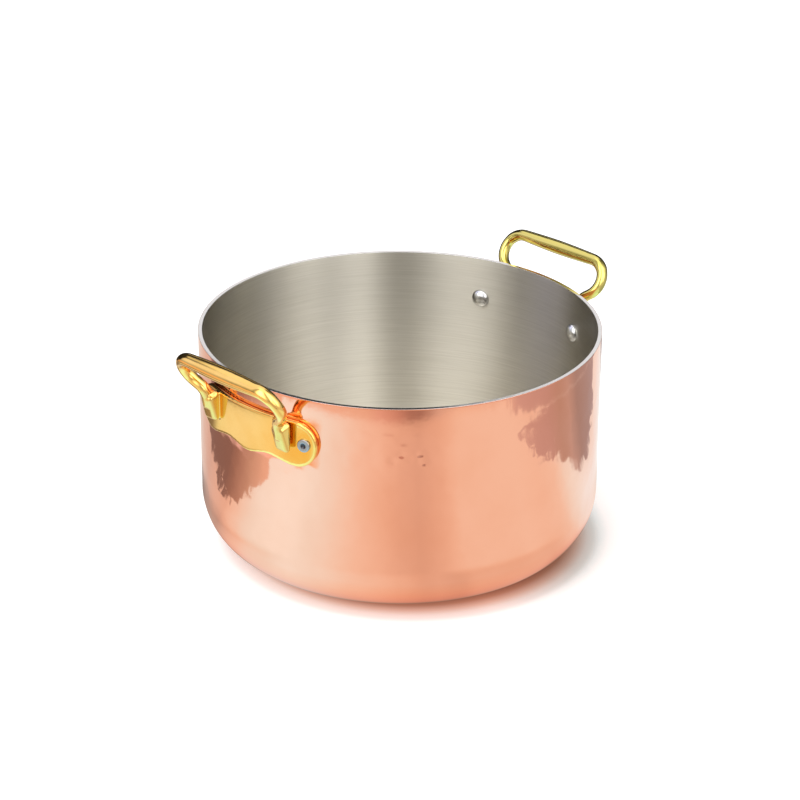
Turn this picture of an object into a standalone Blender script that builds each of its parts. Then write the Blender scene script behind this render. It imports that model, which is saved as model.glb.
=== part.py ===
# A 24 cm copper casserole: a three-layer clad pot with two cast brass handles on four rivets.
# Metres, +Z up. The origin is the centre of the base's flat underside. The handles lie on X.

import math

import bmesh
import bpy
from mathutils import Matrix, Vector

# Pot body
inner_diameter = 0.240
pot_height = 0.140
base_corner_radius = 0.036
copper_thickness = 0.0006
core_thickness = 0.0008
steel_thickness = 0.0005
layer_gap = 0.0003
rim_rounding = 0.0003
wall_steps = 64
corner_steps = 6
rim_steps = 2

# Rivets, this far apart along a straight line and this far below the rim
rivet_spacing = 0.081
rivet_drop = 0.0270
shank_diameter = 0.0060
inner_head_diameter = 0.0116
inner_head_height = 0.0032
outer_head_diameter = 0.0080
outer_head_height = 0.0012
outer_dimple_diameter = 0.0040
outer_dimple_depth = 0.0007
rivet_steps = 16
head_steps = 3

# Handle plate, measured along the wall, its middle this far below the rivets
plate_thickness = 0.0035
plate_ear_radius = 0.0142
plate_ear_spacing = 0.0714
plate_drop = 0.0008
plate_scallop = 0.0030
plate_dip_spacing = 0.0330
plate_edge_rounding = 0.0005
plate_arc_steps = 9
plate_scallop_steps = 12

# Handle lugs, where the arms grow out of the plate, from this far below the rivets
lug_spacing = 0.0615
lug_width = 0.0108
lug_foot_depth = 0.0070
lug_depth = 0.0104
lug_foot_drop = 0.0020
lug_rise = 0.0128
lug_foot_reach = 0.0026
lug_top_reach = 0.0052
lug_squareness = 3.6

# Handle arms and grip, each rise counted from the one before, each reach from the wall
arm_width = 0.0066
arm_depth = 0.0080
arm_root_rise = 0.0054
arm_root_reach = 0.0070
arm_root_spread = 0.0005
grip_reach = 0.0207
grip_rise = 0.0220
grip_span = 0.1280
grip_corner_radius = 0.0110
grip_lug_radius = 0.0045
grip_width = 0.0088
grip_depth = 0.0102
arm_squareness = 2.2
grip_ring_step = 0.0038
section_points = 16

# Clearances and overruns
seat_gap = 0.0003
hole_clearance = 0.0003
cut_overrun = 0.010
weld_distance = 0.00001

# Sizes that follow
inner_radius = inner_diameter / 2
core_outer_radius = inner_radius + steel_thickness + layer_gap + core_thickness
steel_outer_radius = inner_radius + steel_thickness
outer_radius = core_outer_radius + layer_gap + copper_thickness
plate_back_radius = outer_radius + seat_gap
plate_front_radius = plate_back_radius + plate_thickness
rivet_height = pot_height - rivet_drop
rivet_angle = math.asin(rivet_spacing / 2 / outer_radius)
plate_middle_height = rivet_height - plate_drop
lug_foot_height = rivet_height - lug_foot_drop
lug_top_height = lug_foot_height + lug_rise
arm_root_height = lug_top_height + arm_root_rise
grip_height = arm_root_height + grip_rise
step_angle = 2 * math.pi / wall_steps


def clear_scene():
    for old in list(bpy.data.objects):
        bpy.data.objects.remove(old, do_unlink=True)


def new_collection(name):
    made = bpy.data.collections.new(name)
    bpy.context.scene.collection.children.link(made)
    return made


def metal(name, colour, roughness):
    made = bpy.data.materials.new(name)
    made.use_nodes = True
    shader = made.node_tree.nodes["Principled BSDF"]
    shader.inputs["Base Color"].default_value = (*colour, 1)
    shader.inputs["Metallic"].default_value = 1
    shader.inputs["Roughness"].default_value = roughness
    return made


def mesh_object(name, mesh, collection, material=None):
    made = bpy.data.objects.new(name, mesh)
    collection.objects.link(made)
    if material:
        mesh.materials.append(material)
    return made


def smooth_faces(mesh, sharp_degrees=40):
    mesh.shade_smooth()
    mesh.set_sharp_from_angle(angle=math.radians(sharp_degrees))


def baked(source):
    """The mesh that an object's modifiers or curve settings give, with its loose seams welded."""
    bpy.context.view_layer.update()
    graph = bpy.context.evaluated_depsgraph_get()
    mesh = bpy.data.meshes.new_from_object(source.evaluated_get(graph))
    shape = bmesh.new()
    shape.from_mesh(mesh)
    bmesh.ops.remove_doubles(shape, verts=shape.verts, dist=weld_distance)
    shape.to_mesh(mesh)
    shape.free()
    return mesh


def as_cutter(source):
    source.hide_render = True
    source.display_type = "WIRE"
    return source


def boolean(target, other, operation):
    step = target.modifiers.new(other.name, "BOOLEAN")
    step.operation = operation
    step.solver = "EXACT"
    step.object = other
    return step


def turned(name, outline, steps, collection, material=None):
    """A closed or axis-to-axis outline in X and Z, turned round Z. It runs down its outer side."""
    mesh = bpy.data.meshes.new(name)
    edges = [(i, i + 1) for i in range(len(outline) - 1)]
    mesh.from_pydata([(x, 0, z) for x, z in outline], edges, [])
    made = mesh_object(name, mesh, collection)
    spin = made.modifiers.new("turn", "SCREW")
    spin.steps = steps
    spin.render_steps = steps
    spin.use_merge_vertices = True
    spin.merge_threshold = weld_distance
    spin.use_smooth_shade = True
    solid = baked(made)
    made.modifiers.clear()
    made.data = solid
    bpy.data.meshes.remove(mesh)
    smooth_faces(solid)
    if material:
        solid.materials.append(material)
    return made


def arc(centre_x, centre_z, radius, start_degrees, end_degrees, steps):
    """Points of an arc in X and Z, both ends included."""
    found = []
    for i in range(steps + 1):
        angle = math.radians(start_degrees + (end_degrees - start_degrees) * i / steps)
        found.append((centre_x + radius * math.cos(angle), centre_z + radius * math.sin(angle)))
    return found


def corner(depth):
    """The base corner, from the wall down to the floor, of a surface this deep inside the clad sheet."""
    radius = base_corner_radius - depth
    centre_x = outer_radius - base_corner_radius
    return arc(centre_x, base_corner_radius, radius, 0, -90, corner_steps)


def layer_outline(depth, thickness, outer_rounding, inner_rounding):
    """One sheet of the clad wall: up from the middle of its floor inside, over the rim, down outside."""
    outside = outer_radius - depth
    inside = outside - thickness
    up = [(0, depth + thickness)] + corner(depth + thickness)[::-1]
    rim = []
    if inner_rounding:
        rim += arc(inside + inner_rounding, pot_height - inner_rounding, inner_rounding, 180, 90, rim_steps)
    else:
        rim.append((inside, pot_height))
    if outer_rounding:
        rim += arc(outside - outer_rounding, pot_height - outer_rounding, outer_rounding, 90, 0, rim_steps)
    else:
        rim.append((outside, pot_height))
    down = corner(depth) + [(0, depth)]
    return up + rim + down


def on_wall(angle, radius, height):
    return Vector((radius * math.cos(angle), radius * math.sin(angle), height))


def radial_turn(angle):
    """Turns a piece's own +Z to point out of the wall at this angle."""
    return Matrix.Rotation(angle, 4, "Z") @ Matrix.Rotation(math.pi / 2, 4, "Y")


def rivet_outline():
    """A rivet along Z, measured from the pot's axis: a domed head inside, a formed head outside."""
    shank = shank_diameter / 2
    inner = inner_head_diameter / 2
    outer = outer_head_diameter / 2
    facet_radius = inner_radius * math.cos(step_angle / 2)
    inner_seat = math.sqrt(facet_radius**2 - inner**2) - seat_gap
    outer_seat = plate_front_radius + seat_gap
    dome = []
    for i in range(head_steps + 1):
        turn = math.pi / 2 * i / head_steps
        dome.append((inner * math.cos(turn), inner_seat - inner_head_height * math.sin(turn)))
    top = outer_seat + outer_head_height
    dimple = outer_dimple_diameter / 2
    head = [(0, top - outer_dimple_depth), (dimple / 2, top - outer_dimple_depth), (dimple, top)]
    rounding = outer_head_height / 2
    head += arc(outer - rounding, top - rounding, rounding, 90, 0, head_steps // 2)
    head += [(outer, outer_seat), (shank, outer_seat), (shank, inner_seat)]
    return head + dome[:-1] + [(0, inner_seat - inner_head_height)]


def rivet_hole(name, angle, collection):
    """A rod through the wall and the plate, round one rivet's shank."""
    low = inner_radius - cut_overrun
    high = plate_front_radius + cut_overrun
    bpy.ops.mesh.primitive_cylinder_add(
        vertices=rivet_steps,
        radius=shank_diameter / 2 + hole_clearance,
        depth=high - low,
        location=on_wall(angle, (low + high) / 2, rivet_height),
        rotation=(0, math.pi / 2, angle),
    )
    made = bpy.context.object
    made.name = name
    for old in list(made.users_collection):
        old.objects.unlink(made)
    collection.objects.link(made)
    return as_cutter(made)


def plate_outline():
    """The plate laid flat: two round ears, a straight top, and a lower edge in two shallow scallops."""
    ear = plate_ear_radius
    half = plate_ear_spacing / 2
    dip = plate_dip_spacing / 2
    right = arc(half, plate_middle_height, ear, 90, -90, plate_arc_steps)
    lower = []
    for i in range(1, plate_scallop_steps):
        x = half - plate_ear_spacing * i / plate_scallop_steps
        share = abs(x) / dip if abs(x) < dip else (half - abs(x)) / (half - dip)
        lower.append((x, plate_middle_height - ear + plate_scallop * eased(share)))
    left = arc(-half, plate_middle_height, ear, 270, 90, plate_arc_steps)
    return right + lower + left


def plate_mesh(name, collection):
    """The flat plate as a rounded extrusion, scored at the wall's facets and bent round the wall."""
    drawing = bpy.data.curves.new(name, "CURVE")
    drawing.dimensions = "2D"
    drawing.fill_mode = "BOTH"
    drawing.extrude = plate_thickness / 2 - plate_edge_rounding
    drawing.bevel_depth = plate_edge_rounding
    drawing.bevel_resolution = 1
    drawing.offset = -plate_edge_rounding
    points = plate_outline()
    line = drawing.splines.new("POLY")
    line.points.add(len(points) - 1)
    for point, (x, z) in zip(line.points, points):
        point.co = (x, z, 0, 1)
    line.use_cyclic_u = True
    flat = mesh_object(name, drawing, collection)
    mesh = baked(flat)
    bpy.data.objects.remove(flat)
    shape = bmesh.new()
    shape.from_mesh(mesh)
    middle_radius = (plate_back_radius + plate_front_radius) / 2
    score = middle_radius * step_angle
    reach = int((plate_ear_spacing / 2 + plate_ear_radius) / score) + 1
    for i in range(-reach, reach + 1):
        everything = shape.verts[:] + shape.edges[:] + shape.faces[:]
        bmesh.ops.bisect_plane(shape, geom=everything, plane_co=(i * score, 0, 0), plane_no=(1, 0, 0))
    for vertex in shape.verts:
        along, up, out = vertex.co
        vertex.co = on_wall(along / middle_radius, middle_radius + out, up)
    bmesh.ops.triangulate(shape, faces=[face for face in shape.faces if len(face.verts) > 4])
    bmesh.ops.recalc_face_normals(shape, faces=shape.faces)
    shape.to_mesh(mesh)
    shape.free()
    return mesh


def rounded_path(corners, radii, step):
    """Points a step or less apart along straight runs joined by arcs of these radii."""
    runs = []
    for i, here in enumerate(corners):
        if not radii[i]:
            runs.append([here])
            continue
        back = (corners[i - 1] - here).normalized()
        on = (corners[i + 1] - here).normalized()
        half_angle = back.angle(on) / 2
        cut = radii[i] / math.tan(half_angle)
        centre = here + (back + on).normalized() * radii[i] / math.sin(half_angle)
        start = here + back * cut - centre
        axis = back.cross(start)
        sweep = math.pi - 2 * half_angle
        count = max(3, math.ceil(radii[i] * sweep / step))
        turns = [Matrix.Rotation(sweep * k / count, 3, axis) for k in range(count + 1)]
        runs.append([centre + turn @ start for turn in turns])
    path = list(runs[0])
    for run in runs[1:]:
        gap = run[0] - path[-1]
        count = max(1, math.ceil(gap.length / step))
        path += [path[-1].lerp(run[0], k / count) for k in range(1, count)]
        path += run
    return path


def eased(share):
    share = min(max(share, 0), 1)
    return share * share * (3 - 2 * share)


def section_size(point):
    """Width in the loop's plane, depth across it, and squareness, at a point of the half loop."""
    lug_share = (point.z - lug_foot_height) / (lug_top_height - lug_foot_height)
    arm_share = (point.z - lug_top_height) / (arm_root_height - lug_top_height)
    if arm_share <= 0:
        depth = lug_foot_depth + (lug_depth - lug_foot_depth) * eased(lug_share)
        return lug_width, depth, lug_squareness
    if arm_share < 1:
        share = eased(arm_share)
        width = lug_width + (arm_width - lug_width) * share
        depth = lug_depth + (arm_depth - lug_depth) * share
        return width, depth, lug_squareness + (arm_squareness - lug_squareness) * share
    straight = grip_span / 2 - grip_corner_radius
    share = eased(1 - abs(point.y) / straight) if point.z > grip_height - grip_corner_radius else 0
    width = arm_width + (grip_width - arm_width) * share
    return width, arm_depth + (grip_depth - arm_depth) * share, arm_squareness


def loop_path():
    """The middle line of lug, arm, grip, arm and lug, for the handle on +X."""
    half = [
        Vector((outer_radius + lug_foot_reach, lug_spacing / 2, lug_foot_height)),
        Vector((outer_radius + lug_top_reach, lug_spacing / 2, lug_top_height)),
        Vector((outer_radius + arm_root_reach, lug_spacing / 2 + arm_root_spread, arm_root_height)),
        Vector((outer_radius + grip_reach, grip_span / 2, grip_height)),
    ]
    radii = [0, grip_lug_radius, grip_lug_radius, grip_corner_radius]
    mirror = [Vector((corner.x, -corner.y, corner.z)) for corner in reversed(half)]
    return rounded_path(half + mirror, radii + radii[::-1], grip_ring_step)


def loop_mesh(name):
    """A loft along the loop, from square lugs through oval arms to the swelling grip."""
    path = loop_path()
    lean = Vector((grip_reach - arm_root_reach, 0, grip_height - arm_root_height)).normalized()
    across = lean.cross(Vector((0, 1, 0)))
    across = across if across.x > 0 else -across
    shape = bmesh.new()
    rings = []
    for i, point in enumerate(path):
        ahead = (path[min(i + 1, len(path) - 1)] - path[max(i - 1, 0)]).normalized()
        depth_axis = (across - ahead * across.dot(ahead)).normalized()
        width_axis = ahead.cross(depth_axis)
        width, depth, squareness = section_size(point)
        ring = []
        for k in range(section_points):
            turn = 2 * math.pi * (k + 0.5) / section_points
            wide = math.copysign(abs(math.cos(turn)) ** (2 / squareness), math.cos(turn))
            deep = math.copysign(abs(math.sin(turn)) ** (2 / squareness), math.sin(turn))
            offset = width_axis * (wide * width / 2) + depth_axis * (deep * depth / 2)
            ring.append(shape.verts.new(point + offset))
        rings.append(ring)
    for here, after in zip(rings, rings[1:]):
        for k in range(section_points):
            n = (k + 1) % section_points
            shape.faces.new((here[k], here[n], after[n], after[k]))
    shape.faces.new(rings[0])
    shape.faces.new(rings[-1])
    bmesh.ops.recalc_face_normals(shape, faces=shape.faces)
    mesh = bpy.data.meshes.new(name)
    shape.to_mesh(mesh)
    shape.free()
    return mesh


def build_pot(parts, holes):
    """Copper outside, aluminium between, steel inside, each drilled for the rivets."""
    steel_depth = outer_radius - steel_outer_radius
    core_depth = outer_radius - core_outer_radius
    layers = (
        ("copper_shell", 0, copper_thickness, rim_rounding, 0, metal("copper", (0.93, 0.50, 0.34), 0.22)),
        ("aluminium_core", core_depth, core_thickness, 0, 0, metal("aluminium", (0.80, 0.80, 0.81), 0.35)),
        ("steel_liner", steel_depth, steel_thickness, 0, rim_rounding, metal("steel", (0.66, 0.63, 0.58), 0.30)),
    )
    for name, depth, thickness, outer_rounding, inner_rounding, finish in layers:
        outline = layer_outline(depth, thickness, outer_rounding, inner_rounding)
        sheet = turned(name, outline, wall_steps, parts, finish)
        for hole in holes:
            boolean(sheet, hole, "DIFFERENCE")


def build_handles(parts, cutters, holes):
    """One casting, made for +X and turned half round for -X.

    The loop is trimmed inside the plate's thickness, so only the plate's back faces the wall.
    """
    brass = metal("brass", (0.90, 0.62, 0.18), 0.16)
    plate = as_cutter(mesh_object("handle_plate", plate_mesh("handle_plate", cutters), cutters))
    radius = (plate_back_radius + plate_front_radius) / 2
    top = pot_height + cut_overrun
    rod = turned("rod", [(0, top), (radius, top), (radius, -cut_overrun), (0, -cut_overrun)], wall_steps, cutters)
    cast = mesh_object("casting", loop_mesh("casting"), cutters)
    boolean(cast, as_cutter(rod), "DIFFERENCE")
    boolean(cast, plate, "UNION")
    for hole in holes[:2]:
        boolean(cast, hole, "DIFFERENCE")
    mesh = baked(cast)
    as_cutter(cast)
    smooth_faces(mesh)
    for name, turn in (("handle_right", 0), ("handle_left", math.pi)):
        made = mesh_object(name, mesh.copy(), parts, brass)
        made.rotation_euler = (0, 0, turn)


def build_rivets(parts, places):
    """Four alike: the domed head lies inside the pot and the formed head on the handle's ear."""
    steel = metal("rivet_metal", (0.72, 0.73, 0.75), 0.28)
    for name, angle in places:
        rivet = turned(name, rivet_outline(), rivet_steps, parts, steel)
        rivet.matrix_world = Matrix.Translation((0, 0, rivet_height)) @ radial_turn(angle)


def build():
    clear_scene()
    parts = new_collection("copper_casserole")
    cutters = new_collection("cutters")
    places = (
        ("rivet_right_rear", rivet_angle),
        ("rivet_right_front", -rivet_angle),
        ("rivet_left_front", math.pi + rivet_angle),
        ("rivet_left_rear", math.pi - rivet_angle),
    )
    holes = [rivet_hole("hole_for_" + name, angle, cutters) for name, angle in places]
    build_pot(parts, holes)
    build_handles(parts, cutters, holes)
    build_rivets(parts, places)


build()
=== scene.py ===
import math
import random

import bpy
import numpy as np
from mathutils import Matrix, Vector
from mathutils.kdtree import KDTree


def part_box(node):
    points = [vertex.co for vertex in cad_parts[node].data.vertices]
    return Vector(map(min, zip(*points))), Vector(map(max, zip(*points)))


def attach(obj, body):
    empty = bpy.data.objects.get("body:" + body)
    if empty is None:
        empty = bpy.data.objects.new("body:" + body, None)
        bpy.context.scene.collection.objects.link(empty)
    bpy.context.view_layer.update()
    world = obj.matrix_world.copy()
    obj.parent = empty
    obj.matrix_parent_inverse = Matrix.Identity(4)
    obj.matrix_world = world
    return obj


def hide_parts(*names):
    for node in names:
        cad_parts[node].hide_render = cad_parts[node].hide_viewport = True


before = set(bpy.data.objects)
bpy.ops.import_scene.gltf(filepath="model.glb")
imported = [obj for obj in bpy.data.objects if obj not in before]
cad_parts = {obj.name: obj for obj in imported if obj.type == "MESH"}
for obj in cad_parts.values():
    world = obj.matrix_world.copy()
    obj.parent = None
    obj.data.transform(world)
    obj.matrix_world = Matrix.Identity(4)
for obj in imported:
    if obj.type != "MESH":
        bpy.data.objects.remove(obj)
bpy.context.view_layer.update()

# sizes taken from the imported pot
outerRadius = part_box("copper_shell")[1].y
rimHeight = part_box("copper_shell")[1].z
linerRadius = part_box("steel_liner")[1].y
millimetre = 0.001


def clearSelection():
    for thing in list(bpy.context.selected_objects):
        thing.select_set(False)


def pick(*pieces):
    clearSelection()
    for piece in pieces:
        piece.select_set(True)
    bpy.context.view_layer.objects.active = pieces[0]


def editMesh(on):
    bpy.ops.object.mode_set(mode="EDIT" if on else "OBJECT")


def applyPlace(piece):
    pick(piece)
    bpy.ops.object.transform_apply(location=True, rotation=True, scale=True)


def applyModifier(piece, kind, **settings):
    pick(piece)
    step = piece.modifiers.new(kind.lower(), kind)
    for name, value in settings.items():
        setattr(step, name, value)
    bpy.ops.object.modifier_apply(modifier=step.name)


def cleanMesh(piece, mergeDistance=1e-6):
    pick(piece)
    editMesh(True)
    bpy.ops.mesh.select_all(action="SELECT")
    bpy.ops.mesh.remove_doubles(threshold=mergeDistance)
    bpy.ops.mesh.normals_make_consistent(inside=False)
    editMesh(False)


def smoothShade(piece, sharpDegrees=40):
    pick(piece)
    bpy.ops.object.shade_smooth_by_angle(angle=math.radians(sharpDegrees))


def readPoints(piece):
    found = np.empty(len(piece.data.vertices) * 3)
    piece.data.vertices.foreach_get("co", found)
    return found.reshape(-1, 3)


def writePoints(piece, points):
    piece.data.vertices.foreach_set("co", points.ravel())
    piece.data.update()


def arcPoints(centreX, centreZ, radius, startDegrees, endDegrees, steps):
    found = []
    for i in range(steps + 1):
        turn = math.radians(startDegrees + (endDegrees - startDegrees) * i / steps)
        found.append((centreX + radius * math.cos(turn), centreZ + radius * math.sin(turn)))
    return found


def linePoints(start, end, steps):
    # both ends are left out
    return [(start[0] + (end[0] - start[0]) * i / steps, start[1] + (end[1] - start[1]) * i / steps)
            for i in range(1, steps)]


def spunPiece(name, outline, steps, centre=(0, 0, 0), axis=(0, 0, 1)):
    # a plane is merged to one vertex, drawn out along the outline in X and Z, and spun
    clearSelection()
    bpy.ops.mesh.primitive_plane_add(size=millimetre, location=(0, 0, 0))
    piece = bpy.context.object
    piece.name = piece.data.name = name
    editMesh(True)
    bpy.ops.mesh.select_mode(type="VERT")
    bpy.ops.mesh.select_all(action="SELECT")
    bpy.ops.mesh.merge(type="CENTER")
    bpy.ops.transform.translate(value=(outline[0][0], 0, outline[0][1]))
    for here, after in zip(outline, outline[1:]):
        step = (after[0] - here[0], 0, after[1] - here[1])
        bpy.ops.mesh.extrude_vertices_move(TRANSFORM_OT_translate={"value": step})
    bpy.ops.mesh.select_all(action="SELECT")
    bpy.ops.mesh.spin(steps=steps, angle=2 * math.pi, center=centre, axis=axis)
    editMesh(False)
    cleanMesh(piece)
    return piece


def turnedCopy(piece, name, turn, sharpDegrees):
    # a copy with its own mesh, turned round the pot
    copied = piece.copy()
    copied.data = piece.data.copy()
    copied.name = copied.data.name = name
    bpy.context.scene.collection.objects.link(copied)
    copied.rotation_euler = (0, 0, turn)
    applyPlace(copied)
    smoothShade(copied, sharpDegrees)
    return copied


def eased(share):
    share = min(max(share, 0), 1)
    return share * share * (3 - 2 * share)


def faded(height, start, end):
    return eased((height - start) / (end - start))


# camera: fitted to the rim, the sides and the base in the photograph
cameraSettings = {
    "focalPixels": 2709.0764,
    "imagePixels": 800,
    "sensor": 36,
    "elevation": 0.4307,    # this and the roll in radians
    "roll": 0.0055,
    "distance": 13.4272,    # this and the next three in outer radii
    "sideways": 0.0014,
    "upwards": -0.3695,
    "aimHeight": 1.1395,
    "turnDegrees": -45,
    "clip": (0.1, 100),
}


def placeCamera():
    s = cameraSettings
    turn = Matrix.Rotation(math.radians(s["turnDegrees"]), 3, "Z")
    lean, roll = s["elevation"], s["roll"]
    back = Vector((0, -math.cos(lean), math.sin(lean)))
    right = Vector((1, 0, 0))
    up = Vector((0, math.sin(lean), math.cos(lean)))
    spot = Vector((0, 0, s["aimHeight"])) + s["sideways"] * right + s["upwards"] * up + s["distance"] * back
    rolledRight = math.cos(roll) * right + math.sin(roll) * up
    rolledUp = math.cos(roll) * up - math.sin(roll) * right
    bpy.ops.object.camera_add()
    camera = bpy.context.object
    camera.name = "photoCamera"
    axes = Matrix((turn @ rolledRight, turn @ rolledUp, turn @ back)).transposed()
    camera.matrix_world = Matrix.Translation(turn @ spot * outerRadius) @ axes.to_4x4()
    camera.data.sensor_width = s["sensor"]
    camera.data.lens = s["focalPixels"] * s["sensor"] / s["imagePixels"]
    camera.data.clip_start, camera.data.clip_end = s["clip"]
    bpy.context.scene.camera = camera


placeCamera()
print("camera placed")

# the pot: three sheets pressed together, turned from one outline each
potSettings = {
    "cornerRadius": 36 * millimetre,
    "copperInside": outerRadius - 0.6 * millimetre,
    "linerInside": linerRadius - 0.5 * millimetre,
    "copperEdge": 0.09 * millimetre,
    "linerEdge": 0.14 * millimetre,
    "edgeSteps": 4,
    "levelRing": 0.02 * millimetre,     # one more ring keeps the shading of the flat top level
    "copperSteps": 576,
    "copperRings": 90,
    "copperCornerRings": 48,
    "hiddenRings": 6,
    "linerSteps": 320,
    "linerRings": 24,
    "linerCornerRings": 22,
    "baseRings": 4,
}
cornerCentre = outerRadius - potSettings["cornerRadius"]


def sheetSide(radius, cornerRings, wallRings, edge):
    # one face of a sheet, from the middle of the floor out and up to the rim
    cornerRadius = radius - cornerCentre
    floor = potSettings["cornerRadius"] - cornerRadius
    side = [(0, floor)]
    side += linePoints((0, floor), (cornerCentre, floor), potSettings["baseRings"])
    side += arcPoints(cornerCentre, potSettings["cornerRadius"], cornerRadius, -90, 0, cornerRings)
    top = rimHeight - edge
    side += linePoints((radius, potSettings["cornerRadius"]), (radius, top), wallRings)
    return side + [(radius, top)]


def roundedEdge(radius, edge, outward):
    if not edge:
        return []
    s = potSettings
    centre = radius - edge * outward
    start = 0 if outward > 0 else 180
    rounding = arcPoints(centre, rimHeight - edge, edge, start, 90, s["edgeSteps"])[1:]
    return rounding + [(centre - s["levelRing"] * outward, rimHeight)]


def makeSheet(name, outside, inside, outerRings, innerRings, outerEdge, innerEdge, steps):
    outer = sheetSide(outside, *outerRings, outerEdge) + roundedEdge(outside, outerEdge, 1)
    inner = sheetSide(inside, *innerRings, innerEdge) + roundedEdge(inside, innerEdge, -1)
    return spunPiece(name, outer + inner[::-1], steps)


def makePot():
    s = potSettings
    hidden = (s["hiddenRings"], s["hiddenRings"])
    copper = makeSheet("copperBody", outerRadius, s["copperInside"],
                       (s["copperCornerRings"], s["copperRings"]), hidden,
                       s["copperEdge"], 0, s["copperSteps"])
    core = makeSheet("coreSheet", s["copperInside"], linerRadius, hidden, hidden, 0, 0, s["linerSteps"])
    liner = makeSheet("steelInside", linerRadius, s["linerInside"],
                      hidden, (s["linerCornerRings"], s["linerRings"]),
                      0, s["linerEdge"], s["linerSteps"])
    return copper, core, liner


copperBody, coreSheet, steelInside = makePot()
print("pot sheets turned")

# hammer marks: shallow dishes in staggered rings over the copper's outside
hammerSettings = {
    "seed": 7,
    "firstRing": 0.3,           # as a share of the corner's arc, from the flat base
    "ringGap": 6.2 * millimetre,
    "markGap": 9.0 * millimetre,
    "jitter": 3.4 * millimetre,
    "depth": 0.042 * millimetre,
    "depthSpread": 0.85,
    "steepness": 1.7,           # metres of rise per square metre from a mark's middle
    "neighbours": 5,
    "skin": 0.1 * millimetre,   # points deeper than this are inside the sheet
    # heights between which the marks set in and run out
    "lowFade": (0.010, 0.026),
    "topFade": (0.1180, 0.1275),
    # a few sharp blows at the front, by angle and height
    "strayMarks": ((-134.4, 0.1117), (-132.4, 0.1087), (-129.0, 0.1118), (-128.4, 0.1066), (-137.0, 0.1077)),
    "strayRadius": 3.4 * millimetre,
    "strayDepth": 0.24 * millimetre,
    "strayForce": (0.7, 1.2),
    # and the metal raised between them in three rows, by angle, height and rise in millimetres
    "swellings": (
        (-149.1, 0.1191, 0.070), (-144.5, 0.1195, 0.066), (-138.1, 0.1190, 0.056), (-130.9, 0.1184, 0.044),
        (-146.4, 0.1140, 0.126), (-139.4, 0.1138, 0.120), (-133.0, 0.1134, 0.064),
        (-147.8, 0.1074, 0.158), (-139.1, 0.1075, 0.150), (-132.2, 0.1077, 0.125),
    ),
    "swellRadius": 6.6 * millimetre,
    "swellSkin": 0.35 * millimetre,
}


def wallSpot(degrees, height):
    turn = math.radians(degrees)
    return Vector((outerRadius * math.cos(turn), outerRadius * math.sin(turn), height))


def hammerMarks():
    # each mark's middle, depth and steepness
    s = hammerSettings
    dice = random.Random(s["seed"])
    cornerRadius = potSettings["cornerRadius"]
    arcLength = cornerRadius * math.pi / 2
    wholeLength = arcLength + rimHeight - cornerRadius
    marks = []
    along = s["firstRing"] * arcLength
    while along < wholeLength:
        count = int(2 * math.pi * outerRadius / s["markGap"])
        shift = dice.random()
        for i in range(count):
            place = along + dice.uniform(-1, 1) * s["jitter"]
            turn = 2 * math.pi * (i + shift + dice.uniform(-1, 1) * s["jitter"] / s["markGap"]) / count
            if place < arcLength:
                lean = place / cornerRadius - math.pi / 2
                radius = cornerCentre + cornerRadius * math.cos(lean)
                height = cornerRadius + cornerRadius * math.sin(lean)
            else:
                radius, height = outerRadius, cornerRadius + place - arcLength
            depth = s["depth"] * (1 + dice.uniform(-1, 1) * s["depthSpread"])
            spot = Vector((radius * math.cos(turn), radius * math.sin(turn), height))
            marks.append((spot, depth, s["steepness"]))
        along += s["ringGap"]
    for degrees, height in s["strayMarks"]:
        depth = s["strayDepth"] * dice.uniform(*s["strayForce"])
        marks.append((wallSpot(degrees, height), depth, depth / s["strayRadius"] ** 2))
    return marks


def wayOut(x, y, z):
    # which way the copper's face looks there, outwards and up, or None inside the sheet and on the flat base
    s = hammerSettings
    radius, cornerRadius = math.hypot(x, y), potSettings["cornerRadius"]
    if z >= cornerRadius:
        return (1, 0) if radius >= outerRadius - s["skin"] else None
    out, up = radius - cornerCentre, z - cornerRadius
    reach = math.hypot(out, up)
    return (out / reach, up / reach) if out > 0 and reach >= cornerRadius - s["skin"] else None


def raiseSwellings(points):
    s = hammerSettings
    rise = np.zeros(len(points))
    for degrees, height, swell in s["swellings"]:
        gap = np.linalg.norm(points - np.array(wallSpot(degrees, height)), axis=1)
        rise = np.maximum(rise, swell * millimetre * (1 - (gap / s["swellRadius"]) ** 2))
    radii = np.hypot(points[:, 0], points[:, 1])
    rise[radii < outerRadius - s["swellSkin"]] = 0
    points[:, :2] *= (1 + rise / np.maximum(radii, millimetre))[:, None]


def hammerCopper(piece):
    s = hammerSettings
    marks = hammerMarks()
    tree = KDTree(len(marks))
    for i, mark in enumerate(marks):
        tree.insert(mark[0], i)
    tree.balance()
    points = readPoints(piece)
    for i, (x, y, z) in enumerate(points):
        way = wayOut(x, y, z)
        fade = (1 - faded(z, *s["topFade"])) * faded(z, *s["lowFade"])
        if not way or fade <= 0:
            continue
        lift = min(marks[number][2] * gap * gap - marks[number][1]
                   for spot, number, gap in tree.find_n((x, y, z), s["neighbours"]))
        lift = min(lift, 0) * fade
        aside = way[0] * lift / math.hypot(x, y)
        points[i] = (x + x * aside, y + y * aside, z + way[1] * lift)
    raiseSwellings(points)
    writePoints(piece, points)


hammerCopper(copperBody)
smoothShade(copperBody, sharpDegrees=50)
smoothShade(coreSheet)
smoothShade(steelInside, sharpDegrees=50)
print("copper hammered")

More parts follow.
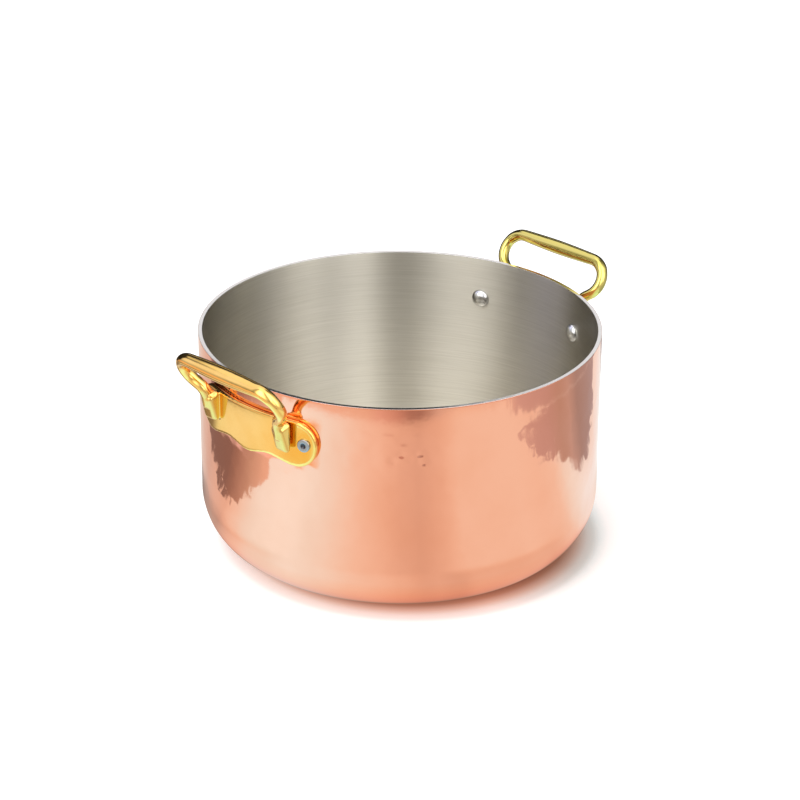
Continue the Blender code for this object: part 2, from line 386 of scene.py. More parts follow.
# handle: cast as one, made facing -Y and turned to its side of the pot
handleSettings = {
    "seatGap": 0.3 * millimetre,
    "plateThickness": 3.5 * millimetre,
    "plateMiddle": 112.2 * millimetre,
    "earRadius": 14.2 * millimetre,
    "earSpacing": 71.4 * millimetre,
    "scallop": 3.0 * millimetre,
    "dipSpacing": 33.0 * millimetre,
    "plateEdge": 0.45 * millimetre,
    "plateVoxel": 0.7 * millimetre,
    "earSteps": 28,
    "scallopSteps": 40,
    "lugSpacing": 61.5 * millimetre,
    "lugFoot": 107.8 * millimetre,
    "lugTop": 127.4 * millimetre,
    "lugTopFront": 123.5 * millimetre,
    "lugFootReach": 4.8 * millimetre,
    "lugTopReach": 9.2 * millimetre,
    "lugBaseWidth": 12.2 * millimetre,
    "lugFrontWidth": 9.0 * millimetre,
    "lugBack": 1.5 * millimetre,        # out from the wall, inside the plate
    "lugBevel": 1.9 * millimetre,
    "lugBevelSteps": 4,
    "loopCorners": (            # out from the wall, along it, up
        (5.0, 30.75, 117.0),
        (6.0, 30.9, 124.0),
        (8.0, 31.6, 129.4),
        (20.7, 64.0, 151.2),
    ),
    "loopRadii": (0, 7.0, 9.0, 12.0),
    "loopStep": 1.0 * millimetre,
    "armWidth": 6.5 * millimetre,
    "armDepth": 7.8 * millimetre,
    "sectionSteps": 32,
    "gripSwell": 1.38,
    "gripBand": 4 * millimetre,         # the grip is what lies this close to the loop's top
    "armVoxel": 0.5 * millimetre,
    "armSmoothing": 14,
    "castVoxel": 0.45 * millimetre,
    "castSmoothing": 7,
    "smoothFactor": 0.5,
    "mergeGap": 1e-5,
}


def plateOutline():
    s = handleSettings
    ear, half, dip = s["earRadius"], s["earSpacing"] / 2, s["dipSpacing"] / 2
    middle, steps = s["plateMiddle"], s["scallopSteps"]
    outline = arcPoints(half, middle, ear, 90, -90, s["earSteps"])
    for i in range(1, steps):
        x = half - s["earSpacing"] * i / steps
        share = abs(x) / dip if abs(x) < dip else (half - abs(x)) / (half - dip)
        outline.append((x, middle - ear + s["scallop"] * eased(share)))
    return outline + arcPoints(-half, middle, ear, 270, 90, s["earSteps"])


def drawnCurve(name, points, dimensions, closed):
    drawing = bpy.data.curves.new(name, "CURVE")
    drawing.dimensions = dimensions
    line = drawing.splines.new("POLY")
    line.points.add(len(points) - 1)
    for point, spot in zip(line.points, points):
        point.co = (*spot, 1)
    line.use_cyclic_u = closed
    made = bpy.data.objects.new(name, drawing)
    bpy.context.scene.collection.objects.link(made)
    return made


def makePlate():
    s = handleSettings
    plate = drawnCurve("plate", [(x, z, 0) for x, z in plateOutline()], "2D", True)
    drawing = plate.data
    drawing.fill_mode = "BOTH"
    drawing.extrude = s["plateThickness"] / 2 - s["plateEdge"]
    drawing.bevel_depth = s["plateEdge"]
    drawing.bevel_resolution = 1
    drawing.offset = -s["plateEdge"]
    pick(plate)
    bpy.ops.object.convert(target="MESH")
    plate.rotation_euler = (math.pi / 2, 0, 0)
    applyPlace(plate)
    cleanMesh(plate, s["mergeGap"])
    applyModifier(plate, "REMESH", mode="VOXEL", voxel_size=s["plateVoxel"])
    # bent round the wall, whose middle line it follows
    middleRadius = outerRadius + s["seatGap"] + s["plateThickness"] / 2
    points = readPoints(plate)
    turn = points[:, 0] / middleRadius
    reach = middleRadius - points[:, 1]
    bent = np.stack([reach * np.sin(turn), -reach * np.cos(turn), points[:, 2]], axis=1)
    writePoints(plate, bent)
    return plate


def makeLug(side):
    # a wedge whose foot is narrow in front and flares where it meets the plate
    s = handleSettings
    middleX = side * s["lugSpacing"] / 2
    back, middleZ = outerRadius + s["lugBack"], (s["lugFoot"] + s["lugTop"]) / 2
    clearSelection()
    bpy.ops.mesh.primitive_cube_add(size=1, location=(middleX, -back, middleZ),
                                    scale=(s["lugBaseWidth"], 1, s["lugTop"] - s["lugFoot"]))
    lug = bpy.context.object
    lug.name = "lug"
    applyPlace(lug)
    for vertex in lug.data.vertices:
        top = vertex.co.z > middleZ
        if vertex.co.y > -back:
            vertex.co.y = -back
            continue
        vertex.co.y = -(outerRadius + (s["lugTopReach"] if top else s["lugFootReach"]))
        vertex.co.x = middleX + math.copysign(s["lugFrontWidth"] / 2, vertex.co.x - middleX)
        if top:
            vertex.co.z = s["lugTopFront"]
    editMesh(True)
    bpy.ops.mesh.select_all(action="SELECT")
    bpy.ops.mesh.bevel(offset=s["lugBevel"], segments=s["lugBevelSteps"], affect="EDGES")
    editMesh(False)
    return lug


def roundedPath(corners, radii, step):
    # points a step apart along straight runs joined by arcs
    runs = []
    for i, here in enumerate(corners):
        if not radii[i]:
            runs.append([here])
            continue
        back = (corners[i - 1] - here).normalized()
        ahead = (corners[i + 1] - here).normalized()
        half = back.angle(ahead) / 2
        start = here + back * radii[i] / math.tan(half)
        centre = here + (back + ahead).normalized() * radii[i] / math.sin(half)
        sweep = math.pi - 2 * half
        axis = back.cross(start - centre)
        count = max(3, math.ceil(radii[i] * sweep / step))
        runs.append([centre + Matrix.Rotation(sweep * k / count, 3, axis) @ (start - centre)
                     for k in range(count + 1)])
    path = list(runs[0])
    for run in runs[1:]:
        count = max(1, math.ceil((run[0] - path[-1]).length / step))
        start = path[-1]
        path += [start.lerp(run[0], k / count) for k in range(1, count)] + run
    return path


def makeLoop():
    s = handleSettings
    half = [Vector((along, -(outerRadius / millimetre + out), up)) * millimetre
            for out, along, up in s["loopCorners"]]
    mirrored = [Vector((-spot.x, spot.y, spot.z)) for spot in reversed(half)]
    radii = [radius * millimetre for radius in s["loopRadii"]]
    path = roundedPath(half + mirrored, radii + radii[::-1], s["loopStep"])
    loop = drawnCurve("loop", [tuple(spot) for spot in path], "3D", False)
    turns = [2 * math.pi * k / s["sectionSteps"] for k in range(s["sectionSteps"])]
    oval = [(s["armWidth"] / 2 * math.cos(turn), s["armDepth"] / 2 * math.sin(turn), 0) for turn in turns]
    section = drawnCurve("section", oval, "2D", True)
    gripTop = half[-1].z
    straight = half[-1].x - radii[-1]
    for point in loop.data.splines[0].points:
        onGrip = eased(1 - abs(point.co.x) / straight) if point.co.z > gripTop - s["gripBand"] else 0
        point.radius = 1 + (s["gripSwell"] - 1) * onGrip
    loop.data.bevel_mode = "OBJECT"
    loop.data.bevel_object = section
    loop.data.use_fill_caps = True
    loop.data.twist_mode = "MINIMUM"
    pick(loop)
    bpy.ops.object.convert(target="MESH")
    bpy.data.objects.remove(section)
    return loop


def makeHandles():
    s = handleSettings
    plate = makePlate()
    loop = makeLoop()
    lugs = [makeLug(-1), makeLug(1)]
    for piece in [loop] + lugs:
        cleanMesh(piece, s["mergeGap"])
    # the loop and its lugs flow together first, and the plate keeps its crisper edge
    pick(loop, *lugs)
    bpy.ops.object.join()
    applyModifier(loop, "REMESH", mode="VOXEL", voxel_size=s["armVoxel"])
    applyModifier(loop, "SMOOTH", factor=s["smoothFactor"], iterations=s["armSmoothing"])
    pick(plate, loop)
    bpy.ops.object.join()
    applyModifier(plate, "REMESH", mode="VOXEL", voxel_size=s["castVoxel"])
    applyModifier(plate, "SMOOTH", factor=s["smoothFactor"], iterations=s["castSmoothing"])
    cleanMesh(plate)
    print("handle faces", len(plate.data.polygons))
    handles = [turnedCopy(plate, name, turn, sharpDegrees=60)
               for name, turn in (("handleFar", math.pi / 2), ("handleNear", -math.pi / 2))]
    bpy.data.objects.remove(plate)
    return handles


handleFar, handleNear = makeHandles()
print("handles cast")

# rivets: a domed head inside, a formed end with a dimple outside
rivetSettings = {
    "spacing": 81 * millimetre,
    "height": 113 * millimetre,
    "shank": 3.0 * millimetre,
    "headRadius": 5.8 * millimetre,
    "headHeight": 3.2 * millimetre,
    "endRadius": 4.0 * millimetre,
    "endHeight": 1.2 * millimetre,
    "endRounding": 0.5 * millimetre,
    "dimpleRadius": 2.0 * millimetre,
    "dimpleDepth": 0.7 * millimetre,
    "endSink": 0.2 * millimetre,        # how far the end and the head reach into what they clamp
    "headSink": 0.3 * millimetre,
    "steps": 64,
    "domeSteps": 12,
    "dimpleSteps": 8,
    "roundingSteps": 5,
}


def rivetOutline():
    s = rivetSettings
    insideSeat = math.sqrt(potSettings["linerInside"] ** 2 - s["headRadius"] ** 2)
    outsideSeat = outerRadius + handleSettings["seatGap"] + handleSettings["plateThickness"]
    top = outsideSeat + s["endHeight"]
    outline = [(top - s["dimpleDepth"], 0)]
    for i in range(1, s["dimpleSteps"] + 1):
        share = i / s["dimpleSteps"]
        outline.append((top - s["dimpleDepth"] * (1 - eased(share)), s["dimpleRadius"] * share))
    for i in range(s["roundingSteps"] + 1):
        turn = math.radians(90 - 90 * i / s["roundingSteps"])
        outline.append((top + s["endRounding"] * (math.sin(turn) - 1),
                        s["endRadius"] - s["endRounding"] * (1 - math.cos(turn))))
    outline += [(outsideSeat - s["endSink"], s["endRadius"]), (outsideSeat - s["endSink"], s["shank"]),
                (insideSeat + s["headSink"], s["shank"]), (insideSeat + s["headSink"], s["headRadius"])]
    for i in range(s["domeSteps"] + 1):
        turn = math.pi / 2 * i / s["domeSteps"]
        outline.append((insideSeat - s["headHeight"] * math.sin(turn), s["headRadius"] * math.cos(turn)))
    return outline


def makeRivets():
    s = rivetSettings
    angle = math.asin(s["spacing"] / 2 / outerRadius)
    outline = [(along, s["height"] + away) for along, away in rivetOutline()]
    first = spunPiece("rivet", outline, s["steps"], centre=(0, 0, s["height"]), axis=(1, 0, 0))
    rivets = {}
    for name, turn in (("rivet_right_rear", angle), ("rivet_right_front", -angle),
                       ("rivet_left_front", math.pi + angle), ("rivet_left_rear", math.pi - angle)):
        kind, side, end = name.split("_")
        rivets[name] = turnedCopy(first, kind + side.title() + end.title(), turn, sharpDegrees=50)
    bpy.data.objects.remove(first)
    return rivets


rivets = makeRivets()
print("rivets turned")


class Wire:
    # one output socket of a node tree, used in sums as a number is
    def __init__(self, tree, socket=None):
        self.tree = tree
        self.socket = socket

    def node(self, kind, settings=None, inputs=None, output=0):
        made = self.tree.nodes.new(kind)
        for name, value in (settings or {}).items():
            setattr(made, name, value)
        for key, value in (inputs or {}).items():
            if isinstance(value, Wire):
                self.tree.links.new(value.socket, made.inputs[key])
            else:
                if isinstance(value, tuple) and len(value) == 3 and made.inputs[key].type == "RGBA":
                    value = (*value, 1)
                made.inputs[key].default_value = value
        return Wire(self.tree, made.outputs[output])

    def maths(self, operation, *others):
        inputs = {i: value for i, value in enumerate((self,) + others)}
        return self.node("ShaderNodeMath", {"operation": operation}, inputs)

    def __add__(self, other):
        return self.maths("ADD", other)

    __radd__ = __add__

    def __sub__(self, other):
        return self.maths("SUBTRACT", other)

    def __rsub__(self, other):
        return self.node("ShaderNodeMath", {"operation": "SUBTRACT"}, {0: other, 1: self})

    def __mul__(self, other):
        return self.maths("MULTIPLY", other)

    __rmul__ = __mul__

    def __truediv__(self, other):
        return self.maths("DIVIDE", other)

    def __pow__(self, other):
        return self.maths("POWER", other)

    def length(self, other):
        # of the vector with these two numbers
        return (self * self + other * other) ** 0.5

    def between(self, low, high, start=0, end=1):
        # smooth step from start at low to end at high
        return self.node("ShaderNodeMapRange", {"interpolation_type": "SMOOTHSTEP"},
                         {0: self, 1: low, 2: high, 3: start, 4: end})

    def ramp(self, stops):
        # a colour along straight lines between pairs of place and tone
        made = self.node("ShaderNodeValToRGB", None, {0: self})
        elements = made.socket.node.color_ramp.elements
        while len(elements) < len(stops):
            elements.new(0.5)
        for element, (place, tone) in zip(elements, stops):
            element.position = place
            element.color = (*tone, 1)
        return made

    def blend(self, first, second):
        # a colour from first at 0 to second at 1
        return self.node("ShaderNodeMix", {"data_type": "RGBA"}, {0: self, 6: first, 7: second}, 2)

    def tinted(self, other, share=1.0):
        # a colour times another colour
        return self.node("ShaderNodeMix", {"data_type": "RGBA", "blend_type": "MULTIPLY"},
                         {0: share, 6: self, 7: other}, 2)

    def scaled(self, factor):
        # a colour times a number
        return self.node("ShaderNodeVectorMath", {"operation": "SCALE"}, {0: self, "Scale": factor})

    def parts(self):
        split = self.node("ShaderNodeSeparateXYZ", None, {0: self}).socket.node
        return [Wire(self.tree, socket) for socket in split.outputs]

    def stretched(self, scale, turn=0):
        return self.node("ShaderNodeMapping", None,
                         {"Vector": self, "Scale": scale, "Rotation": (0, 0, turn)})

    def noise(self, scale, detail, roughness=0.5):
        return self.node("ShaderNodeTexNoise", None,
                         {"Vector": self, "Scale": scale, "Detail": detail, "Roughness": roughness})

    def bumped(self, strength, depth):
        return self.node("ShaderNodeBump", None, {"Strength": strength, "Distance": depth, "Height": self})


def newMaterial(name):
    material = bpy.data.materials.new(name)
    material.use_nodes = True
    tree = material.node_tree
    tree.nodes.clear()
    return material, Wire(tree)


def finishTree(bench, shader, kind="ShaderNodeOutputMaterial"):
    end = bench.tree.nodes.new(kind)
    bench.tree.links.new(shader.socket, end.inputs["Surface"])


def finishMetal(bench, inputs):
    finishTree(bench, bench.node("ShaderNodeBsdfPrincipled", None, {"Metallic": 1.0, **inputs}))


def objectPlace(bench):
    return bench.node("ShaderNodeTexCoord", output="Object")


# the band under the rim's flat top where the sheets are cut
cutBand = (rimHeight - 0.10 * millimetre, rimHeight - 0.03 * millimetre)

# from here on, a noise is its scale, its detail and sometimes its roughness, and a relief its strength and
# depth; the two values of a From, UpTo, Band or Edge are where something sets in and where it is whole
copperFinish = {
    "tone": (0.945, 0.43, 0.28),
    "deepTone": (0.92, 0.40, 0.25),
    "deepFrom": (0.35, 0.75),
    "edgeTone": (0.92, 0.86, 0.83),
    "cloudNoise": (22.0, 3.0),
    "fineNoise": (900.0, 2.0),
    "lumpNoise": (260.0, 1.0),
    "fineShare": 0.10,
    "relief": (0.20, 0.00004),
    "roughness": 0.05,
    "roughSpread": 0.03,
}


def copperMaterial():
    s = copperFinish
    material, bench = newMaterial("hammeredCopper")
    place = objectPlace(bench)
    clouds = place.noise(*s["cloudNoise"])
    fine = place.noise(*s["fineNoise"])
    tone = clouds.between(*s["deepFrom"]).blend(s["tone"], s["deepTone"])
    finishMetal(bench, {
        "Base Color": place.parts()[2].between(*cutBand).blend(tone, s["edgeTone"]),
        "Roughness": clouds * s["roughSpread"] + s["roughness"],
        "Normal": (place.noise(*s["lumpNoise"]) + fine * s["fineShare"]).bumped(*s["relief"]),
    })
    return material


steelFinish = {
    "tone": (0.69, 0.65, 0.56),
    "paleTone": (0.78, 0.74, 0.65),
    "paleFrom": (0.3, 0.7),
    "toneByHeight": (0.035, 0.130, 1.09, 0.80),    # brighter low in the pot and darker towards the rim: two heights and the tone's strength at each
    "cutTone": (0.90, 0.89, 0.88),
    "streakStretch": (18, 18, 1100),
    "streakNoise": (1.0, 3.0),
    "streakShare": 0.6,
    "hairStretch": (60, 60, 3600),
    "hairNoise": (1.0, 2.0),
    "hairShare": 0.4,
    "relief": (0.5, 0.00004),
    "roughness": 0.44,
    "roughSpread": 0.12,
    "edgeBand": (rimHeight - 0.5 * millimetre, rimHeight - 0.2 * millimetre),
    "edgeRoughness": 0.05,
    "brushTurn": 0.25,          # brushed round the wall, so its glow runs up and down
}


def steelMaterial():
    s = steelFinish
    material, bench = newMaterial("brushedSteel")
    place = objectPlace(bench)
    streaks = place.stretched(s["streakStretch"]).noise(*s["streakNoise"])
    hairs = place.stretched(s["hairStretch"]).noise(*s["hairNoise"])
    brushing = streaks * s["streakShare"] + hairs * s["hairShare"]
    height = place.parts()[2]
    tone = brushing.between(*s["paleFrom"]).blend(s["tone"], s["paleTone"])
    tone = tone.scaled(height.between(*s["toneByHeight"]))
    turned = height.between(*s["edgeBand"])
    rough = (brushing - 0.5) * s["roughSpread"] + s["roughness"]
    finishMetal(bench, {
        "Base Color": height.between(*cutBand).blend(tone, s["cutTone"]),
        "Roughness": rough * (1 - turned) + turned * s["edgeRoughness"],
        "Anisotropic": 1.0,
        "Anisotropic Rotation": s["brushTurn"],
        "Normal": brushing.bumped(*s["relief"]),
    })
    return material


coreFinish = {
    "tone": (0.93, 0.92, 0.91),
    "deepTone": (0.88, 0.87, 0.86),
    "cloudNoise": (160.0, 2.0),
    "relief": (0.15, 0.00003),
    "roughness": 0.035,
    "roughSpread": 0.02,
}


def coreMaterial():
    s = coreFinish
    material, bench = newMaterial("turnedAluminium")
    clouds = objectPlace(bench).noise(*s["cloudNoise"])
    finishMetal(bench, {
        "Base Color": clouds.blend(s["tone"], s["deepTone"]),
        "Roughness": clouds * s["roughSpread"] + s["roughness"],
        "Normal": clouds.bumped(*s["relief"]),
    })
    return material


brassFinish = {
    "tone": (0.93, 0.61, 0.18),
    "deepTone": (0.91, 0.57, 0.15),
    "deepFrom": (0.35, 0.7),
    "farShadeTone": (0.72, 0.61, 0.17),    # painted shade: the far handle is a darker, more olive copy of the same brass
    "farShadeFrom": (-0.01, 0.01),
    "lugShadeTone": (0.80, 0.52, 0.15),      # painted shade: the lugs are painted darker; they are also rougher
    "lugFrom": (outerRadius + 4.6 * millimetre, outerRadius + 5.6 * millimetre),
    "lugUpTo": (0.124, 0.131),
    "cloudNoise": (70.0, 3.0),
    "fineNoise": (1400.0, 2.0),
    "lumpNoise": (190.0, 2.0),
    "fineShare": 0.08,
    "relief": (0.25, 0.00008),
    "roughness": 0.07,
    "roughSpreads": (0.04, 0.02, 0.08),     # by the clouds, the fine grain and the lugs
}


def brassMaterial():
    s = brassFinish
    material, bench = newMaterial("castBrass")
    place = objectPlace(bench)
    clouds = place.noise(*s["cloudNoise"])
    fine = place.noise(*s["fineNoise"])
    across, along, up = place.parts()
    tone = clouds.between(*s["deepFrom"]).blend(s["tone"], s["deepTone"])
    # painted shade: the far handle, on the +X side, takes the darker olive tone
    tone = across.between(*s["farShadeFrom"]).blend(tone, s["farShadeTone"])
    # the lugs' mask: painted shade darkens their colour, and their roughness is raised
    lug = across.length(along).between(*s["lugFrom"]) * (1 - up.between(*s["lugUpTo"]))
    byClouds, byGrain, byLug = s["roughSpreads"]
    finishMetal(bench, {
        "Base Color": lug.blend(tone, s["lugShadeTone"]),
        "Roughness": clouds * byClouds + fine * byGrain + lug * byLug + s["roughness"],
        "Normal": (place.noise(*s["lumpNoise"]) + fine * s["fineShare"]).bumped(*s["relief"]),
    })
    return material


rivetFinish = {
    "tone": (0.66, 0.66, 0.67),
    "paleTone": (0.80, 0.80, 0.80),
    "paleFrom": (0.3, 0.7),
    "endTone": (0.36, 0.36, 0.38),
    # painted shade: the dimple in each outer end is nearly black
    "dimpleShadeTone": (0.06, 0.06, 0.07),
    "dimpleShadeEdge": (1.3 * millimetre, 2.2 * millimetre),
    "outsideFrom": (outerRadius, outerRadius + millimetre),
    "cloudNoise": (420.0, 3.0),
    "relief": (0.3, 0.00008),
    "roughness": 0.18,
    "roughSpread": 0.12,
}


def rivetMaterial():
    s = rivetFinish
    material, bench = newMaterial("rivetSteel")
    place = objectPlace(bench)
    clouds = place.noise(*s["cloudNoise"])
    across, along, up = place.parts()
    outside = across.length(along).between(*s["outsideFrom"])
    # distance from the rivet's own middle line
    turn = math.asin(rivetSettings["spacing"] / 2 / outerRadius)
    aside = along.maths("ABSOLUTE") * math.cos(turn) - across.maths("ABSOLUTE") * math.sin(turn)
    above = up - rivetSettings["height"]
    # painted shade fills the dimple, and the rest of the end keeps the end's tone
    endTone = aside.length(above).between(*s["dimpleShadeEdge"]).blend(s["dimpleShadeTone"], s["endTone"])
    headTone = clouds.between(*s["paleFrom"]).blend(s["tone"], s["paleTone"])
    finishMetal(bench, {
        "Base Color": outside.blend(headTone, endTone),
        "Roughness": clouds * s["roughSpread"] + s["roughness"],
        "Normal": clouds.bumped(*s["relief"]),
    })
    return material


copper, steel, core = copperMaterial(), steelMaterial(), coreMaterial()
brass, rivetSteel = brassMaterial(), rivetMaterial()
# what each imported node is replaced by, its material and its slot
standsFor = {
    "copper_shell": (copperBody, copper, "copper"),
    "aluminium_core": (coreSheet, core, "aluminium"),
    "steel_liner": (steelInside, steel, "steel"),
    "handle_right": (handleFar, brass, "brass"),
    "handle_left": (handleNear, brass, "brass"),
}
standsFor.update({name: (rivet, rivetSteel, "rivet_metal") for name, rivet in rivets.items()})
for name, (piece, material, slot) in standsFor.items():
    piece.data.materials.clear()
    piece.data.materials.append(material)
    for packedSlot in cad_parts[name].material_slots:
        packedSlot.material = material
print("finishes mixed")

# studio: a white table that metal sees only so far, and panels all round given by direction
cameraTurn = math.radians(-cameraSettings["turnDegrees"])


def roundAngle(place):
    # 0 to 1 round the vertical, with the camera at a quarter
    across, along, up = place.stretched((1, 1, 1), cameraTurn).parts()
    return along.maths("ARCTAN2", across) / (2 * math.pi) + 0.5


def byAngle(angle, pairs, top=1.0):
    # a number is a grey; values are held as shares of the top, because a ramp ends at 1
    stops = []
    for degrees, value in sorted(pairs, key=lambda pair: pair[0]):
        tone = value if isinstance(value, tuple) else (value,) * 3
        stops.append(((degrees + 180) / 360, tuple(part / top for part in tone)))
    return angle.ramp(stops)


def byDistance(distance, pairs, span):
    return (distance / span).ramp([(reach / span, tone) for reach, tone in pairs])


def rayKinds(bench):
    path = bench.tree.nodes.new("ShaderNodeLightPath")
    return [Wire(bench.tree, path.outputs[kind]) for kind in ("Is Camera Ray", "Is Glossy Ray")]


tableSettings = {
    "radius": 8.0,
    "sides": 96,
    "grey": 0.80,
    "lift": 0.60,               # its own light, for the camera only
    # contact shadow by distance, tinted by the copper, round a point a little to the camera's right,
    # and greyer and longer on the camera's right
    "shadowSpan": 0.2,
    "shadowMiddle": (0.0057, -0.0057),
    "shadowReach": ((0.090, (0.30, 0.10, 0.06)), (0.098, (0.50, 0.24, 0.16)), (0.104, (0.74, 0.50, 0.41)),
                    (0.110, (0.90, 0.80, 0.76)), (0.118, (1.0, 1.0, 1.0))),
    "greyShadow": ((0.100, (0.58, 0.62, 0.62)), (0.1135, (0.63, 0.70, 0.70)), (0.119, (0.80, 0.86, 0.86)),
                   (0.124, (0.95, 0.97, 0.97)), (0.129, (1.0, 1.0, 1.0))),
    "greyShare": ((-180, 0.0), (-60, 0.0), (-34, 0.8), (-24, 1.0), (14, 1.0), (36, 0.6), (70, 0.0),
                  (180, 0.0)),
    # what metal sees of the table, by degrees round the pot from the camera's right: how bright it is, how
    # much of that is left near the pot's foot, and how far it reaches
    "tableGlow": ((-180, 0.84), (-176, 0.86), (-170, 1.10), (-164, 1.29), (-158, 1.47), (-154, 1.56),
                  (-144, 1.62), (-135, 1.60), (-125, 1.44), (-116, 1.28), (-107, 1.10), (-98, 0.98),
                  (-90, 0.84), (-81, 0.77), (-72, 0.87), (-63, 1.08), (-34, 1.09), (-23, 1.05), (-12, 1.12),
                  (-5, 1.34), (2, 1.42), (11, 1.35), (26, 1.15), (50, 1.1), (70, 1.0), (150, 0.75),
                  (161, 0.70), (172, 0.80), (180, 0.84)),
    "farDimming": (0.42, 0.60, 1.0, 0.85),      # two distances and the brightness at each
    "footGlow": ((-180, 0.64), (-172, 0.64), (-165, 0.68), (-158, 0.72), (-150, 0.84), (-143, 0.86),
                 (-130, 1.02), (-110, 1.08), (-98, 1.10), (-88, 1.12), (-76, 1.0), (-68, 0.82), (-28, 0.84),
                 (-14, 0.98), (2, 0.90), (14, 0.84), (26, 0.72), (40, 0.45), (60, 0.20), (120, 0.20),
                 (155, 0.40), (168, 0.56), (180, 0.64)),
    "footUpTo": (0.150, 0.185),
    "tableReach": ((-180, 0.201), (-171, 0.206), (-165, 0.222), (-159, 0.240), (-155, 0.262), (-152, 0.300),
                   (-149, 0.41), (-121, 0.407), (-84, 0.403), (-66, 0.415), (-33, 0.40), (-31, 0.340),
                   (-25, 0.317), (-13, 0.294), (-5, 0.272), (3, 0.238), (8, 0.229), (13, 0.226), (18, 0.229),
                   (25, 0.257), (32, 0.294), (36, 0.45), (50, 0.45), (56, 0.25), (118, 0.20), (122, 0.45),
                   (151, 0.45), (155, 0.28), (160, 0.245), (165, 0.227), (176, 0.203), (180, 0.201)),
    # bright parts are paler and dim ones redder, as on the real copper: two levels of light and the
    # colour's share at each
    "redShare": (0.70, 1.60, 1.06, 0.65),
    "blueShare": (0.80, 1.65, 0.93, 1.20),
    # the table's edge is ragged, and crisper where it is more so
    "raggedNoise": (24.0, 4.0, 0.62),
    "raggedReach": 0.11,
    "frayedNoise": (95.0, 3.0, 0.6),
    "frayedReach": 0.045,
    "raggedShare": ((-180, 1.0), (-149, 1.0), (-140, 0.10), (-55, 0.10), (-38, 1.0), (-9, 1.0), (-3, 0.4),
                    (20, 0.4), (27, 1.0), (180, 1.0)),
    "edgeSoftness": 0.007,
    "edgeCrispness": 0.003,
    # a bright gap across the dark beyond it, shut where its half width is below zero
    "notchMiddle": 0.369,
    "notchSoftness": 0.002,
    "notchRagged": 0.4,
    "notchHalf": ((-180, -0.01), (-40, -0.01), (-35, 0.016), (-24, 0.010), (-14, 0.004), (-8, -0.004),
                  (-4, -0.01), (180, -0.01)),
    # what lies beyond the table's edge, by angle
    "beyondGlow": ((-180, (0.29, 0.24, 0.23)), (-175, (0.38, 0.31, 0.28)), (-170, (0.50, 0.43, 0.39)),
                   (-163, (0.66, 0.62, 0.56)), (-157, (0.86, 0.82, 0.75)), (-150, (0.98, 0.92, 0.84)),
                   (-125, (0.96, 0.90, 0.82)), (-106, (0.90, 0.84, 0.76)), (-99, (0.83, 0.68, 0.65)),
                   (-94, (0.73, 0.57, 0.53)), (-90, (0.62, 0.46, 0.43)), (-85, (0.44, 0.33, 0.31)),
                   (-80, (0.42, 0.33, 0.32)), (-76, (0.55, 0.49, 0.48)), (-71, (0.77, 0.78, 0.80)),
                   (-61, (0.96, 0.97, 0.90)), (-38, (0.93, 0.95, 0.92)), (-30, (0.68, 0.64, 0.70)),
                   (-12, (0.61, 0.57, 0.62)), (-3, (0.56, 0.54, 0.54)), (4, (0.60, 0.61, 0.64)),
                   (12, (0.44, 0.46, 0.50)), (30, (0.47, 0.50, 0.55)), (56, (0.46, 0.42, 0.42)),
                   (66, (0.42, 0.32, 0.27)), (112, (0.42, 0.31, 0.26)), (120, (0.75, 0.70, 0.70)),
                   (150, (0.75, 0.70, 0.70)), (156, (0.28, 0.235, 0.225)), (176, (0.28, 0.235, 0.225)),
                   (180, (0.29, 0.24, 0.23))),
    # further off than the copper sees, for the brass
    "farFrom": (0.47, 0.52),
    "farGlow": ((-180, (1.00, 0.70, 0.60)), (-150, (1.05, 0.80, 0.70)), (-120, (0.90, 0.78, 0.68)),
                (-90, (0.66, 0.56, 0.50)), (-45, (0.85, 0.80, 0.76)), (0, (0.75, 0.72, 0.72)),
                (40, (0.30, 0.28, 0.28)), (60, (0.05, 0.045, 0.04)), (148, (0.05, 0.045, 0.04)),
                (160, (0.75, 0.50, 0.42)), (180, (1.00, 0.70, 0.60))),
    # the card that lights the near plate: pale for its middle, orange for its right end
    "cardTones": ((-180, (1.05, 1.02, 1.05)), (-168, (1.08, 1.06, 1.20)), (-158, (1.08, 1.04, 1.10)),
                  (-150, (1.08, 0.93, 0.80)), (-143, (1.05, 0.80, 0.48)), (-134, (1.03, 0.74, 0.32)),
                  (-110, (1.03, 0.74, 0.32)), (150, (0.95, 0.98, 0.85)), (166, (0.95, 0.98, 0.85)),
                  (180, (1.05, 1.02, 1.05))),
    "cardShare": ((-180, 1.0), (-131, 1.0), (-126.5, 0.0), (166, 0.0), (172, 1.0), (180, 1.0)),
    "cardInner": ((-180, 0.294), (-169, 0.299), (-151, 0.309), (-135, 0.316), (-127, 0.320), (172, 0.285),
                  (180, 0.294)),
    "cardInnerEdge": (-0.007, 0.003),
    "cardOuter": ((-180, 0.356), (-172, 0.364), (-153, 0.374), (-136, 0.380), (-127, 0.384), (172, 0.345),
                  (180, 0.356)),
    "cardOuterEdge": (-0.010, 0.006),
    # the contact shadow as metal sees it, by distance, and how much further off it lies at each angle
    "contactTones": ((0.098, (0.33, 0.20, 0.15)), (0.104, (0.78, 0.47, 0.38)), (0.108, (0.90, 0.60, 0.51)),
                     (0.114, (0.98, 0.76, 0.67)), (0.122, (1.0, 0.90, 0.84)), (0.136, (1.0, 1.0, 1.0))),
    "contactShift": ((-180, 0.010), (-158, 0.008), (-143, 0.002), (-125, 0.0), (-45, 0.0), (-36, 0.003),
                     (-28, 0.008), (-16, 0.014), (-5, 0.020), (20, 0.022), (60, 0.025), (150, 0.025),
                     (180, 0.010)),
    "glowTop": 2.0,             # the brightest value that a table above may hold
}


